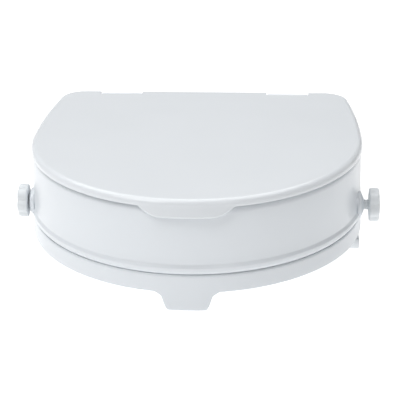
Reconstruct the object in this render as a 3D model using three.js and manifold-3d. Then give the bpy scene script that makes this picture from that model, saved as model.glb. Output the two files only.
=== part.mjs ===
// A raised toilet seat with a hinged lid, in millimetres, +Z up.
// The seat is seen from its front, which faces -Y; left is -X. The origin is under the middle of the seat,
// on the surface that the splash skirt, the front tongue and the clamps stand on.
import * as THREE from 'three';
import { mergeVertices } from 'three/addons/utils/BufferGeometryUtils.js';
import Module from 'manifold-3d';

const wasm = await Module();
wasm.setup();

// ---------------------------------------------------------------- driving dimensions

// Heights, from the surface that the seat stands on when it is off the bowl.
const rimPlane = 20; // underside of the base ring, on the bowl's rim
const bodyHeight = 96.5; // from the rim plane to the sitting surface
const bandHeight = 19.6; // visible height of the base ring
const seatTop = rimPlane + bodyHeight;
const bandTop = rimPlane + bandHeight;

// Plan outline of the body at the bead above the base ring, its widest section, and of the lid around it.
const body = { halfWidth: 188.5, front: -190, rear: 194, widestY: 21.5, sideRadius: 1000, cornerRadius: 30 };
const lidOverhang = { sides: -1.5, ends: 0.5 }; // the wall leans in below the lid, so its sides still overhang
const lidPlan = {
  ...body,
  halfWidth: body.halfWidth + lidOverhang.sides,
  front: body.front - lidOverhang.ends,
  rear: body.rear + lidOverhang.ends,
};
const aperture = { halfWidth: 105, halfLength: 125, centreY: -8 };
const crownInset = 16; // from the body's outline to where its sitting surface starts
const apertureRim = 22; // from the aperture to where that surface ends

const wall = 3; // walls of the seat shell and the base ring
const gap = 0.3; // between pieces that touch
// The tube that lines the aperture below the shell's inner lip and goes on down into the bowl.
const guard = { wall: 2.8, clear: 0.7, top: seatTop - 23.5, lap: 8, collarWidth: 6, collarThickness: 2.5 };

// Lid and its hinges.
const lidGap = 2.5; // sitting surface to the lid's underside
const lidSkin = 3;
const lidRimDepth = 8.5;
const lidRimWall = 2.6;
const lidUnder = seatTop + lidGap;
const lidTop = lidUnder + lidSkin;
const lidRimBottom = lidTop - lidRimDepth;
const lip = { topWidth: 99, bottomWidth: 54, drop: 10, proud: 2.5, thickness: 3.2 };
const tabHollow = 5; // how far the rear edge between the hinges curves in
const knuckle = { radius: 6.5, length: 13.5, belowTop: 1.5, fromRear: 7 };
const hinge = {
  y: body.rear - knuckle.fromRear,
  z: lidTop - knuckle.belowTop - knuckle.radius,
  pinRadius: 3,
  notchInner: 0.41 * lidPlan.halfWidth,
  notchOuter: 0.6845 * lidPlan.halfWidth,
  notchClear: 1.5,
};
const deck = { z: hinge.z - knuckle.radius - 5.5, frontY: hinge.y - 14, thickness: 3 };
const hingePlate = {
  thickness: 3.4,
  frontY: deck.frontY + 2,
  rearY: body.rear - 4,
  screwInset: 4.4,
  screwSpread: 16,
};
const buffer = { radius: 7, frontY: body.front / 2, rearY: 0.54 * body.rear };

// Front tongue.
const tongue = {
  topWidth: 68,
  shoulderWidth: 54,
  shoulderDrop: 4.5,
  heelWidth: 47,
  heelDrop: 15,
  bottomWidth: 39,
};

// Side clamps, one on each side. Their distances out from the middle are all measured from the body's side.
const clamp = { y: -18, z: bandTop + 15.4, pitch: 3, turnsOut: 1.5, turnsIn: 1.8 };
const sideX = halfWidthAt(body, clamp.y, 0);
const spindle = { radius: 5.8, neckRadius: 4, knobDepth: 8 };
const nut = { acrossFlats: 2 * spindle.radius + 7.4, thickness: 7 };
const housing = { innerX: sideX - 16.2, half: nut.acrossFlats / Math.sqrt(3) + 2.5 };
const nutOuterX = housing.innerX + nut.thickness + 1;
const boss = {
  baseX: sideX - 0.2,
  length: 3,
  baseRadius: clamp.z - bandTop - 0.5,
  tipRadius: spindle.radius + 1.4,
};
const bossTipX = boss.baseX + boss.length;
const bracket = {
  plateX: housing.innerX - 13,
  plateTop: clamp.z + 15,
  thickness: 5,
  shelfThickness: 4,
  width: 20,
};
const bracketShelfZ = rimPlane + wall + 4;
const bracketNeckX = housing.innerX - 1; // inner face of the part that goes down through the base ring
const foot = { innerX: bracketNeckX + 3, thickness: 13, bottom: 2.4, top: rimPlane - 2.4, width: 24 };
const footPad = { thickness: 3, width: 20 };
const retainer = { radius: 8.5, thickness: 2 };
const knob = { lobes: 6, radius: 17, lobeDepth: 1.6, thickness: 12.5, bevel: 1.6, clear: 0.4 };

// Rubber pads under the base ring, at angles from the +X axis.
const rimPad = { length: 46, width: 16, thickness: 2.2, angles: [-60, 42] };

// Screws that hold the base ring to the shell: their distance in from the outline, and where along Y.
const ringScrew = { inset: 14, radius: 2, length: 16, headRadius: 4, headHeight: 1.7 };
const ringScrewY = [0.63 * body.front, 0.32 * body.rear, 0.775 * body.rear];
const screwPost = { radius: 4.8, top: bandTop + 26, ribBottom: bandTop + 10, ribThickness: 3 };
const hingeScrew = { radius: 2, length: 14, headRadius: 3.5, headHeight: 2.2 };

// ---------------------------------------------------------------- materials

const material = (name, color, roughness, metalness) =>
  new THREE.MeshStandardMaterial({ name, color, roughness, metalness });
const shellWhite = material('shell_white', 0xe9ecee, 0.28, 0);
const lidWhite = material('lid_white', 0xeceff0, 0.24, 0);
const clampWhite = material('clamp_white', 0xe4e7e9, 0.4, 0);
const softGrey = material('soft_grey', 0xb9bcbf, 0.85, 0);
const steel = material('steel', 0xb4b8bb, 0.35, 1);

// ---------------------------------------------------------------- solids

// A closed geometry as a solid that can be cut and joined.
function solid(geometry) {
  const bare = new THREE.BufferGeometry().setAttribute('position', geometry.getAttribute('position'));
  if (geometry.index) bare.setIndex(geometry.index);
  const merged = mergeVertices(bare, 1e-4);
  const mesh = { numProp: 3, vertProperties: merged.attributes.position.array };
  return new wasm.Manifold(new wasm.Mesh({ ...mesh, triVerts: new Uint32Array(merged.index.array) }));
}

function join(...solids) {
  return solids.reduce((whole, next) => whole.add(next));
}

function cut(whole, ...tools) {
  return tools.reduce((left, tool) => left.subtract(tool), whole);
}

function geometryOf(made) {
  const { vertProperties, triVerts } = made.getMesh();
  const geometry = new THREE.BufferGeometry();
  geometry.setAttribute('position', new THREE.BufferAttribute(new Float32Array(vertProperties), 3));
  geometry.setIndex(new THREE.BufferAttribute(new Uint32Array(triVerts), 1));
  geometry.computeVertexNormals();
  return geometry;
}

function piece(name, made, slot) {
  const mesh = new THREE.Mesh(geometryOf(made), slot);
  mesh.name = name;
  return mesh;
}

function box(x0, x1, y0, y1, z0, z1) {
  const geometry = new THREE.BoxGeometry(x1 - x0, y1 - y0, z1 - z0);
  return solid(geometry.translate((x0 + x1) / 2, (y0 + y1) / 2, (z0 + z1) / 2));
}

// A cone or cylinder along +X from x0 to x1.
function roundX(x0, x1, y, z, r0, r1 = r0, steps = 20) {
  const geometry = new THREE.CylinderGeometry(r0, r1, x1 - x0, steps).rotateZ(Math.PI / 2);
  return solid(geometry.translate((x0 + x1) / 2, y, z));
}

function roundZ(x, y, z0, z1, r, steps = 16) {
  const geometry = new THREE.CylinderGeometry(r, r, z1 - z0, steps).rotateX(Math.PI / 2);
  return solid(geometry.translate(x, y, (z0 + z1) / 2));
}

// ---------------------------------------------------------------- plan outlines

const frontSteps = 16;
const sideSteps = 4;
const cornerSteps = 5;
const rearSteps = 5;

// The loop of plan points of an outline moved inwards by inset: a half ellipse in front, a long arc along
// each side, a round corner and a straight rear edge. It runs anticlockwise from the middle of the front.
function outlineLoop(plan, inset = 0) {
  const halfWidth = plan.halfWidth - inset;
  const frontLength = plan.widestY - plan.front - inset;
  const sideRadius = plan.sideRadius - inset;
  const cornerRadius = plan.cornerRadius - inset;
  const sideCentreX = plan.halfWidth - plan.sideRadius;
  const cornerY = plan.rear - plan.cornerRadius;
  const reach = plan.sideRadius - plan.cornerRadius;
  const turn = Math.asin((cornerY - plan.widestY) / reach);
  const cornerX = sideCentreX + reach * Math.cos(turn);
  const half = [];
  for (let i = 0; i < frontSteps; i += 1) {
    const angle = (i / frontSteps - 1) * (Math.PI / 2);
    half.push([halfWidth * Math.cos(angle), plan.widestY + frontLength * Math.sin(angle)]);
  }
  for (let i = 0; i < sideSteps; i += 1) {
    const angle = (i / sideSteps) * turn;
    half.push([sideCentreX + sideRadius * Math.cos(angle), plan.widestY + sideRadius * Math.sin(angle)]);
  }
  for (let i = 0; i < cornerSteps; i += 1) {
    const angle = turn + (i / cornerSteps) * (Math.PI / 2 - turn);
    half.push([cornerX + cornerRadius * Math.cos(angle), cornerY + cornerRadius * Math.sin(angle)]);
  }
  for (let i = 0; i <= rearSteps; i += 1) {
    half.push([cornerX * (1 - i / rearSteps), plan.rear - inset]);
  }
  const mirrored = half.slice(1, -1).reverse().map(([x, y]) => [-x, y]);
  return [...half, ...mirrored];
}

// The half width of an outline at a given y in front of its corners.
function halfWidthAt(plan, y, inset) {
  const halfWidth = plan.halfWidth - inset;
  const along = y - plan.widestY;
  const frontLength = plan.widestY - plan.front - inset;
  if (along < 0) return halfWidth * Math.sqrt(1 - (along / frontLength) ** 2);
  const sideRadius = plan.sideRadius - inset;
  return plan.halfWidth - plan.sideRadius + Math.sqrt(sideRadius ** 2 - along ** 2);
}

// The oval of the aperture, grown by grow, with a point in the direction of each of the body's.
const bodyDirections = outlineLoop(body).map(([x, y]) => Math.atan2(y - aperture.centreY, x));
function apertureLoop(grow = 0) {
  const a = aperture.halfWidth + grow;
  const b = aperture.halfLength + grow;
  return bodyDirections.map((angle) => {
    const reach = 1 / Math.hypot(Math.cos(angle) / a, Math.sin(angle) / b);
    return [reach * Math.cos(angle), aperture.centreY + reach * Math.sin(angle)];
  });
}

function blendLoops(one, other, share) {
  return one.map(([x, y], i) => [x + (other[i][0] - x) * share, y + (other[i][1] - y) * share]);
}

// A ring of 3D points: a plan loop at a height, which may dip from place to place.
function ring(loop, z, dip = () => 0) {
  return loop.map(([x, y]) => [x, y, z - dip(x, y)]);
}

// The solid through a row of rings. A closed row makes a ring-shaped solid; any other is capped at both
// ends. Rings that go up an outer face, inwards over the top and down an inner face make faces that point out.
function loft(rings, closed) {
  const count = rings[0].length;
  const positions = rings.flat(2);
  const index = [];
  const at = (k, i) => (k % rings.length) * count + (i % count);
  for (let k = 0; k < (closed ? rings.length : rings.length - 1); k += 1) {
    for (let i = 0; i < count; i += 1) {
      index.push(at(k, i), at(k, i + 1), at(k + 1, i + 1), at(k, i), at(k + 1, i + 1), at(k + 1, i));
    }
  }
  if (!closed) {
    for (const [k, up] of [[0, false], [rings.length - 1, true]]) {
      const middle = positions.length / 3;
      const mean = (axis) => rings[k].reduce((sum, point) => sum + point[axis], 0) / count;
      positions.push(mean(0), mean(1), mean(2));
      for (let i = 0; i < count; i += 1) {
        index.push(...(up ? [at(k, i), at(k, i + 1), middle] : [at(k, i + 1), at(k, i), middle]));
      }
    }
  }
  const geometry = new THREE.BufferGeometry();
  geometry.setAttribute('position', new THREE.Float32BufferAttribute(positions, 3));
  geometry.setIndex(index);
  return solid(geometry);
}

const bodyRing = ([inset, z]) => ring(outlineLoop(body, inset), z);
const lidRing = ([inset, z]) => ring(outlineLoop(lidPlan, inset), z);

// What a tab keeps of the slab it is cut from: a half outline and its mirror image, pushed through along Y.
function tabCutter(drawHalf, top, depth) {
  const right = new THREE.Path();
  drawHalf(right);
  const edge = right.getPoints(10);
  const outline = [...edge, ...edge.map(({ x, y }) => new THREE.Vector2(-x, y)).reverse()];
  outline.push(new THREE.Vector2(-edge[0].x, top + wall), new THREE.Vector2(edge[0].x, top + wall));
  const geometry = new THREE.ExtrudeGeometry(new THREE.Shape(outline), { depth, bevelEnabled: false });
  return solid(geometry.rotateX(Math.PI / 2));
}

// The finger lip: each side curves down into a long flat edge.
function drawLip(path) {
  const [wide, narrow] = [lip.topWidth / 2, lip.bottomWidth / 2];
  const third = (wide - narrow) / 3;
  const bottom = lidRimBottom - lip.drop;
  path.moveTo(wide, lidRimBottom);
  path.bezierCurveTo(wide - third, lidRimBottom - lip.drop * 0.55, narrow + third, bottom, narrow, bottom);
}

// The tongue: sloping shoulders, steep sides and rounded lower corners.
function drawTongue(path) {
  path.moveTo(tongue.topWidth / 2, rimPlane);
  path.lineTo(tongue.shoulderWidth / 2, rimPlane - tongue.shoulderDrop);
  path.lineTo(tongue.heelWidth / 2, rimPlane - tongue.heelDrop);
  path.quadraticCurveTo(tongue.heelWidth / 2 - 1, 0, tongue.bottomWidth / 2, 0);
}

// ---------------------------------------------------------------- seat shell

// Hollows in front of and behind the aperture.
const hygieneDip = (x) => 6 * Math.exp(-((x / 42) ** 2));
const wallTopInset = 3; // the wall leans in by this much from the bead to the sitting surface

// The outer face of the wall and its edge: how far in from the outline, and how high.
function outerFace() {
  return [
    [3, bandTop + 0.4],
    [1, bandTop + 2],
    [0, bandTop + 6.5],
    [0.5, bandTop + 11.5],
    [1.5, bandTop + 17],
    [wallTopInset, seatTop - 12.5],
    [wallTopInset + 0.7, seatTop - 7.5],
    [wallTopInset + 3, seatTop - 2.9],
    [wallTopInset + 7.5, seatTop - 0.5],
    [crownInset, seatTop],
  ];
}

function crownRings(lower) {
  const outer = outlineLoop(body, crownInset);
  const middle = blendLoops(outer, apertureLoop(apertureRim), 0.55);
  const dip = (x) => hygieneDip(x) / 2;
  return [
    ring(middle, seatTop - 0.2 - lower, (x) => dip(x) / 2),
    ring(apertureLoop(apertureRim), seatTop - 1.4 - lower, dip),
  ];
}

function shellRings() {
  const hole = (grow, z, dip) => ring(apertureLoop(grow), z, dip);
  const lipBottom = guard.top - guard.lap;
  return [
    ...outerFace().map(bodyRing),
    ...crownRings(0),
    hole(10, seatTop - 5.2, hygieneDip),
    hole(3, seatTop - 11.5, hygieneDip),
    hole(0.5, seatTop - 19),
    hole(0, seatTop - 24),
    hole(0, lipBottom),
    hole(2.5, lipBottom),
    hole(2.5, seatTop - 24),
    hole(3.5, seatTop - 19),
    hole(6, seatTop - 13.5, hygieneDip),
    hole(12, seatTop - 8.4, hygieneDip),
    ...crownRings(wall).reverse(),
    bodyRing([crownInset, seatTop - wall]),
    bodyRing([wallTopInset + 7.5, seatTop - 4]),
    bodyRing([wallTopInset + 3.8, seatTop - 8]),
    bodyRing([wallTopInset + wall, seatTop - 12.5]),
    bodyRing([5, bandTop + 17]),
    bodyRing([5.2, bandTop + 0.4]),
  ];
}

// The lowered deck behind the sitting surface that carries the hinges, with the step up to that surface.
function hingeDeck(wholeBody) {
  const { z, frontY, thickness } = deck;
  const plate = box(-body.halfWidth, body.halfWidth, frontY - thickness, body.rear, z - thickness, z);
  const step = box(-body.halfWidth, body.halfWidth, frontY - thickness, frontY, z - thickness, seatTop - 1.5);
  return join(plate, step).intersect(wholeBody);
}

const hingeMiddle = (hinge.notchInner + hinge.notchOuter) / 2;
const hingeScrewY = hingePlate.frontY + hingePlate.screwInset;
const hingeScrewPlaces = [-1, 1].flatMap((side) => [-1, 1].map((along) => ({
  side,
  x: side * hingeMiddle + along * hingePlate.screwSpread,
})));
const ringScrewPlaces = ringScrewY.flatMap((y) => [-1, 1].map((side) => ({
  side,
  x: side * halfWidthAt(body, y, ringScrew.inset),
  y,
})));

const bodyXAt = (inset) => halfWidthAt(body, clamp.y, inset);

// What the shell has around one spindle: a cone outside, a nut housing inside, and the holes through both.
function clampBoss(side) {
  const sideways = (x0, x1, r0, r1) => {
    const [from, to] = side > 0 ? [x0, x1] : [-x1, -x0];
    return roundX(from, to, clamp.y, clamp.z, side > 0 ? r0 : r1, side > 0 ? r1 : r0, 24);
  };
  const inWall = bodyXAt(wall + 1);
  const [near, far] = side > 0 ? [housing.innerX, inWall] : [-inWall, -housing.innerX];
  const { half } = housing;
  const block = box(near, far, clamp.y - half, clamp.y + half, clamp.z - half, clamp.z + half);
  const root = sideways(inWall, boss.baseX, boss.baseRadius, boss.baseRadius);
  const cone = join(root, sideways(boss.baseX, bossTipX, boss.baseRadius, boss.tipRadius));
  const bore = sideways(housing.innerX - 1, bossTipX + 1, spindle.radius + gap, spindle.radius + gap);
  const pocket = hexAlongX(nut.acrossFlats + 2 * gap, housing.innerX - 1, nutOuterX + gap, side);
  return { add: join(block, cone), remove: join(bore, pocket) };
}

// A hexagonal prism around the spindle's axis, from x0 to x1 on the given side.
function hexAlongX(acrossFlats, x0, x1, side) {
  const radius = acrossFlats / Math.sqrt(3);
  const [from, to] = side > 0 ? [x0, x1] : [-x1, -x0];
  return roundX(from, to, clamp.y, clamp.z, radius, radius, 6);
}

// The post that a base ring screw goes up into, tied to the wall by a rib.
function ringScrewPost({ side, x, y }) {
  const bottom = rimPlane + wall + 0.4;
  const [ribNear, ribFar] = [Math.abs(x), halfWidthAt(body, y, wall + 1)];
  const [x0, x1] = side > 0 ? [ribNear, ribFar] : [-ribFar, -ribNear];
  const half = screwPost.ribThickness / 2;
  const rib = box(x0, x1, y - half, y + half, screwPost.ribBottom, screwPost.top);
  const post = roundZ(x, y, bottom, screwPost.top, screwPost.radius);
  const remove = roundZ(x, y, bottom - 1, bottom + ringScrew.length, ringScrew.radius + gap, 12);
  return { add: join(rib, post), remove };
}

// The post under the hinge deck for a hinge screw.
function hingeScrewPost({ x }) {
  const depth = 16;
  const add = roundZ(x, hingeScrewY, deck.z - depth, deck.z - 1, 4.5, 12);
  const remove = roundZ(x, hingeScrewY, deck.z - depth + 1, deck.z + 1, hingeScrew.radius + gap, 12);
  return { add, remove };
}

function seatShell() {
  const wholeBody = loft(outerFace().map(bodyRing), false);
  const deckSpace = box(-body.halfWidth, body.halfWidth, deck.frontY, body.rear + 1, deck.z, lidTop);
  const features = [
    ...ringScrewPlaces.map(ringScrewPost),
    ...hingeScrewPlaces.map(hingeScrewPost),
    clampBoss(-1),
    clampBoss(1),
  ];
  let shell = join(cut(loft(shellRings(), true), deckSpace), hingeDeck(wholeBody));
  for (const { add, remove } of features) shell = cut(join(shell, add), remove);
  return shell;
}

// ---------------------------------------------------------------- base ring

const bandInset = { top: 3, upper: 1.6, lower: 1 };
const upstand = { inset: 5.6, thickness: 2.4, height: 7 };
const guardInner = 2.5 + guard.clear;
const guardOuter = guardInner + guard.wall;

function baseRingRings() {
  const hole = (grow, z) => ring(apertureLoop(grow), z);
  const flangeTop = rimPlane + wall;
  const upstandInner = upstand.inset + upstand.thickness;
  const band = [
    [bandInset.lower + 0.8, rimPlane],
    [bandInset.lower, rimPlane + 1],
    [bandInset.upper - 0.2, bandTop - 4],
    [bandInset.upper + 0.3, bandTop - 1.3],
    [bandInset.top, bandTop],
    [upstand.inset, bandTop],
    [upstand.inset, bandTop + upstand.height],
    [upstandInner, bandTop + upstand.height],
    [upstandInner, bandTop - 1.5],
    [bandInset.upper + wall, bandTop - 4],
    [bandInset.lower + wall, flangeTop],
  ];
  return [...band.map(bodyRing), hole(guardOuter + gap, flangeTop), hole(guardOuter + gap, rimPlane)];
}

// A tube through the base ring, whose collar lies on the ring's flange.
function splashGuard() {
  const collarBottom = rimPlane + wall + gap;
  const collarTop = collarBottom + guard.collarThickness;
  const collar = guardOuter + guard.collarWidth;
  const chamfer = 0.8;
  const profile = [
    [guardOuter - chamfer, 0],
    [guardOuter, chamfer],
    [guardOuter, collarBottom],
    [collar, collarBottom],
    [collar, collarTop],
    [guardOuter, collarTop],
    [guardOuter, guard.top],
    [guardInner, guard.top],
    [guardInner, chamfer],
    [guardInner + chamfer, 0],
  ];
  return loft(profile.map(([grow, z]) => ring(apertureLoop(grow), z)), true);
}

// How far a clamp travels each way from where its bracket is drawn, along X.
const travelIn = clamp.turnsIn * clamp.pitch;
const travelOut = clamp.turnsOut * clamp.pitch;

function clampSlot(side) {
  const near = bracketNeckX - travelIn - 1;
  const far = bracketNeckX + bracket.thickness + travelOut + 0.5;
  const [x0, x1] = side > 0 ? [near, far] : [-far, -near];
  // The slot also lets the bracket's upper plate and shelf through when it is put together.
  const insertX = bracket.plateX - travelIn - 1;
  const [i0, i1] = side > 0 ? [insertX, near + 1] : [-near - 1, -insertX];
  const half = bracket.width / 2 + 0.6;
  const slot = (from, to) => box(from, to, clamp.y - half, clamp.y + half, rimPlane - 1, rimPlane + wall + 1);
  return join(slot(x0, x1), slot(i0, i1));
}

// The gap in the upstand where the shell's nut housing comes down.
function housingNotch(side) {
  const [x0, x1] = side > 0 ? [housing.innerX - 1, bossTipX] : [-bossTipX, 1 - housing.innerX];
  const half = housing.half + 1;
  return box(x0, x1, clamp.y - half, clamp.y + half, bandTop, bandTop + upstand.height + 1);
}

function baseRing() {
  const tongueInset = bandInset.lower + wall;
  const tongueSlab = [
    [bandInset.lower, 0],
    [bandInset.lower, rimPlane + 2],
    [tongueInset, rimPlane + 2],
    [tongueInset, 0],
  ];
  const frontTab = tabCutter(drawTongue, rimPlane, -body.front + 1);
  // The inner face of the tongue is flat, to lie against the front of the bowl.
  const innerFace = box(-tongue.topWidth, tongue.topWidth, body.front + tongueInset, 0, -1, rimPlane);
  const tab = cut(loft(tongueSlab.map(bodyRing), true).intersect(frontTab), innerFace);
  let made = join(loft(baseRingRings(), true), tab);
  for (const side of [-1, 1]) made = cut(made, clampSlot(side), housingNotch(side));
  for (const { x, y } of ringScrewPlaces) {
    made = made.subtract(roundZ(x, y, rimPlane - 1, rimPlane + wall + 1, ringScrew.radius + gap, 12));
  }
  return made;
}

// ---------------------------------------------------------------- lid

// Up the inside of the rim, round its lower edge and up over the lid's edge.
const lidProfile = [
  [4, lidUnder],
  [lidRimWall, lidUnder - 1.5],
  [lidRimWall, lidRimBottom + 0.8],
  [lidRimWall - 0.5, lidRimBottom],
  [0.6, lidRimBottom],
  [0, lidRimBottom + 0.8],
  [0, lidTop - 4.6],
  [0.7, lidTop - 2.4],
  [2.5, lidTop - 0.7],
  [5, lidTop],
];

function lidLip() {
  const { drop, proud, thickness } = lip;
  const bottom = lidRimBottom - drop;
  const slab = [
    [-proud, bottom],
    [-proud, lidRimBottom],
    [0.2, lidRimBottom + 2.5],
    [lidRimWall, lidRimBottom + 2.5],
    [thickness - proud, bottom],
  ];
  const cutter = tabCutter(drawLip, lidRimBottom, -lidPlan.front + 5);
  return loft(slab.map(lidRing), true).intersect(cutter);
}

// One knuckle of the lid on each side of each notch, with the web that hangs it from the lid's skin.
function lidKnuckle(x0, x1) {
  const web = box(x0, x1, hinge.y - knuckle.radius, hinge.y + knuckle.radius, hinge.z, lidUnder + 0.5);
  return join(web, roundX(x0, x1, hinge.y, hinge.z, knuckle.radius));
}

const knuckleSpans = [[hinge.notchInner - knuckle.length, hinge.notchInner],
  [hinge.notchOuter, hinge.notchOuter + knuckle.length]];

function lidSolid() {
  const reach = lidPlan.halfWidth;
  const rearRim = box(-reach, reach, deck.frontY, lidPlan.rear + 1, lidRimBottom - 1, lidUnder);
  const { notchInner, notchOuter } = hinge;
  const notchFront = hinge.y - knuckle.radius - hinge.notchClear;
  const notch = (x0, x1) => box(x0, x1, notchFront, lidPlan.rear + 1, lidRimBottom - 1, lidTop + 1);
  // The edge between the hinges is an arc that meets the rear line at the two notches.
  const hollowRadius = (notchInner ** 2 + tabHollow ** 2) / (2 * tabHollow);
  const hollowY = lidPlan.rear - tabHollow + hollowRadius;
  const hollow = roundZ(0, hollowY, lidRimBottom - 1, lidTop + 1, hollowRadius, 240);
  let made = cut(loft(lidProfile.map(lidRing), false), rearRim, hollow,
    notch(notchInner, notchOuter), notch(-notchOuter, -notchInner));
  made = made.add(lidLip());
  for (const [x0, x1] of knuckleSpans) {
    made = join(made, lidKnuckle(x0, x1), lidKnuckle(-x1, -x0));
  }
  const pinHole = roundX(-reach, reach, hinge.y, hinge.z, hinge.pinRadius + gap, hinge.pinRadius + gap, 16);
  return made.subtract(pinHole);
}

// ---------------------------------------------------------------- hinges

function hingeBlock(side) {
  const clear = 1;
  const [x0, x1] = [hinge.notchInner + clear, hinge.notchOuter - clear];
  const [near, far] = side > 0 ? [x0, x1] : [-x1, -x0];
  const bottom = deck.z + gap;
  const plateTop = bottom + hingePlate.thickness;
  const plate = box(near, far, hingePlate.frontY, hingePlate.rearY, bottom, plateTop);
  const web = box(near, far, hinge.y - 3.6, hinge.y + 5, plateTop - 1, hinge.z);
  const barrel = roundX(near, far, hinge.y, hinge.z, knuckle.radius);
  const holeRadius = hinge.pinRadius + gap;
  let made = join(plate, web, barrel);
  made = made.subtract(roundX(near - 1, far + 1, hinge.y, hinge.z, holeRadius, holeRadius, 16));
  for (const place of hingeScrewPlaces.filter((p) => p.side === side)) {
    const radius = hingeScrew.radius + gap;
    made = made.subtract(roundZ(place.x, hingeScrewY, bottom - 1, plateTop + 1, radius, 12));
  }
  return made;
}

function hingePin(side) {
  const inner = knuckleSpans[0][0];
  const outer = knuckleSpans[1][1];
  const head = 2.2;
  const along = (x0, x1, radius) => {
    const [near, far] = side > 0 ? [x0, x1] : [-x1, -x0];
    return roundX(near, far, hinge.y, hinge.z, radius, radius, 16);
  };
  return join(along(inner - 1, outer - 1, hinge.pinRadius), along(inner - gap - head, inner - gap, 4.6));
}

// ---------------------------------------------------------------- small parts

// A screw with its head's underside at the origin, its head along +Z and its shank along -Z.
function screwGeometry({ radius, length, headRadius, headHeight }) {
  const profile = [
    [0, -length],
    [radius * 0.5, -length + 1],
    [radius, -length + 3],
    [radius, 0],
    [headRadius, 0],
    [headRadius, headHeight * 0.45],
    [headRadius * 0.7, headHeight * 0.9],
    [0, headHeight],
  ];
  const points = profile.map(([r, z]) => new THREE.Vector2(r, z));
  return new THREE.LatheGeometry(points, 12).rotateX(Math.PI / 2);
}

function screwPiece(name, size, x, y, z, upsideDown) {
  const mesh = new THREE.Mesh(screwGeometry(size), steel);
  mesh.name = name;
  mesh.position.set(x, y, z);
  if (upsideDown) mesh.rotation.x = Math.PI;
  return mesh;
}

// A pad with round ends, lying flat with its underside at z = 0, along X.
function stadium(length, width, thickness, steps = 6) {
  const shape = new THREE.Shape();
  const radius = width / 2;
  const straight = length / 2 - radius;
  shape.absarc(straight, 0, radius, -Math.PI / 2, Math.PI / 2, false);
  shape.absarc(-straight, 0, radius, Math.PI / 2, (3 * Math.PI) / 2, false);
  return new THREE.ExtrudeGeometry(shape, { depth: thickness, bevelEnabled: false, curveSegments: steps });
}

// The pads lie on an oval about midway between the splash guard and the body's outline.
const padOval = {
  x: (aperture.halfWidth + guardOuter + body.halfWidth) / 2 - 6,
  y: (aperture.halfLength + guardOuter + aperture.centreY - body.front) / 2,
};

function rimPadPiece(name, side, angle) {
  const turn = THREE.MathUtils.degToRad(angle);
  const mesh = new THREE.Mesh(stadium(rimPad.length, rimPad.width, rimPad.thickness), softGrey);
  mesh.name = name;
  const y = aperture.centreY + padOval.y * Math.sin(turn);
  mesh.position.set(side * padOval.x * Math.cos(turn), y, rimPlane - gap - rimPad.thickness);
  // It lies along the oval's tangent there.
  const tangent = Math.atan2(padOval.y * Math.cos(turn), -padOval.x * Math.sin(turn));
  mesh.rotation.z = side > 0 ? tangent : Math.PI - tangent;
  return mesh;
}

// Midway across the sitting surface at a given y.
function crownMiddleX(y) {
  const along = (y - aperture.centreY) / (aperture.halfLength + apertureRim);
  const inner = (aperture.halfWidth + apertureRim) * Math.sqrt(Math.max(0, 1 - along ** 2));
  return (inner + halfWidthAt(body, y, crownInset)) / 2;
}

function lidBufferPiece(name, side, y) {
  const thickness = lidGap - 2 * gap;
  const profile = [
    [0, 0],
    [buffer.radius - 0.8, 0],
    [buffer.radius, 0.6],
    [buffer.radius, thickness],
    [0, thickness],
  ];
  const geometry = new THREE.LatheGeometry(profile.map(([r, z]) => new THREE.Vector2(r, z)), 16);
  const mesh = new THREE.Mesh(geometry.rotateX(Math.PI / 2), softGrey);
  mesh.name = name;
  mesh.position.set(side * crownMiddleX(y), y, seatTop + gap);
  return mesh;
}

// ---------------------------------------------------------------- side clamps

// Each clamp's pieces are made for the right side, where the knob stands clear of its cone by travelIn.
// The left ones are mirrored and screwed right in.
const footOuterX = foot.innerX + foot.thickness;
function clampBracket() {
  const { plateX, thickness, plateTop, shelfThickness, width } = bracket;
  const half = width / 2;
  const span = (x0, x1, z0, z1, w = half) => box(x0, x1, clamp.y - w, clamp.y + w, z0, z1);
  const plate = span(plateX, plateX + thickness, bracketShelfZ, plateTop);
  const shelf = span(plateX, bracketNeckX + thickness, bracketShelfZ, bracketShelfZ + shelfThickness);
  const neck = span(bracketNeckX, bracketNeckX + thickness, foot.top - 1, bracketShelfZ + 1);
  const footHalf = foot.width / 2;
  const round = roundX(foot.innerX, footOuterX, clamp.y, foot.bottom + footHalf, footHalf, footHalf, 32);
  const upper = span(foot.innerX, footOuterX, foot.bottom + footHalf, foot.top + footHalf, footHalf);
  const bridge = span(bracketNeckX, foot.innerX + 1, foot.top - 4, foot.top, half);
  const footSolid = join(round, upper).intersect(span(0, footOuterX + 1, foot.bottom, foot.top, footHalf + 1));
  const hole = roundX(plateX - 1, plateX + thickness + 1, clamp.y, clamp.z, spindle.neckRadius + gap);
  return cut(join(plate, shelf, neck, footSolid, bridge), hole);
}

function clampPad() {
  const x1 = foot.innerX - gap;
  const half = footPad.width / 2;
  const top = foot.top - 4.4;
  const disc = roundX(x1 - footPad.thickness, x1, clamp.y, foot.bottom + 1 + half, half, half, 24);
  return disc.intersect(box(0, x1 + 1, clamp.y - half - 1, clamp.y + half + 1, foot.bottom, top));
}

// Where the knob starts, just outside the cone when it is screwed right in.
const knobInnerX = bossTipX + knob.clear + travelIn;
const shoulderX = bracket.plateX + bracket.thickness + gap;

function spindleSolid() {
  const neckEnd = bracket.plateX - retainer.thickness - 4;
  const { y, z } = clamp;
  return join(roundX(shoulderX, knobInnerX + spindle.knobDepth - gap, y, z, spindle.radius, spindle.radius, 24),
    roundX(neckEnd, shoulderX + 1, y, z, spindle.neckRadius));
}

function retainerSolid() {
  const x1 = bracket.plateX - gap;
  const { y, z } = clamp;
  return cut(roundX(x1 - retainer.thickness, x1, y, z, retainer.radius),
    roundX(x1 - retainer.thickness - 1, x1 + 1, y, z, spindle.neckRadius + gap));
}

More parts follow.
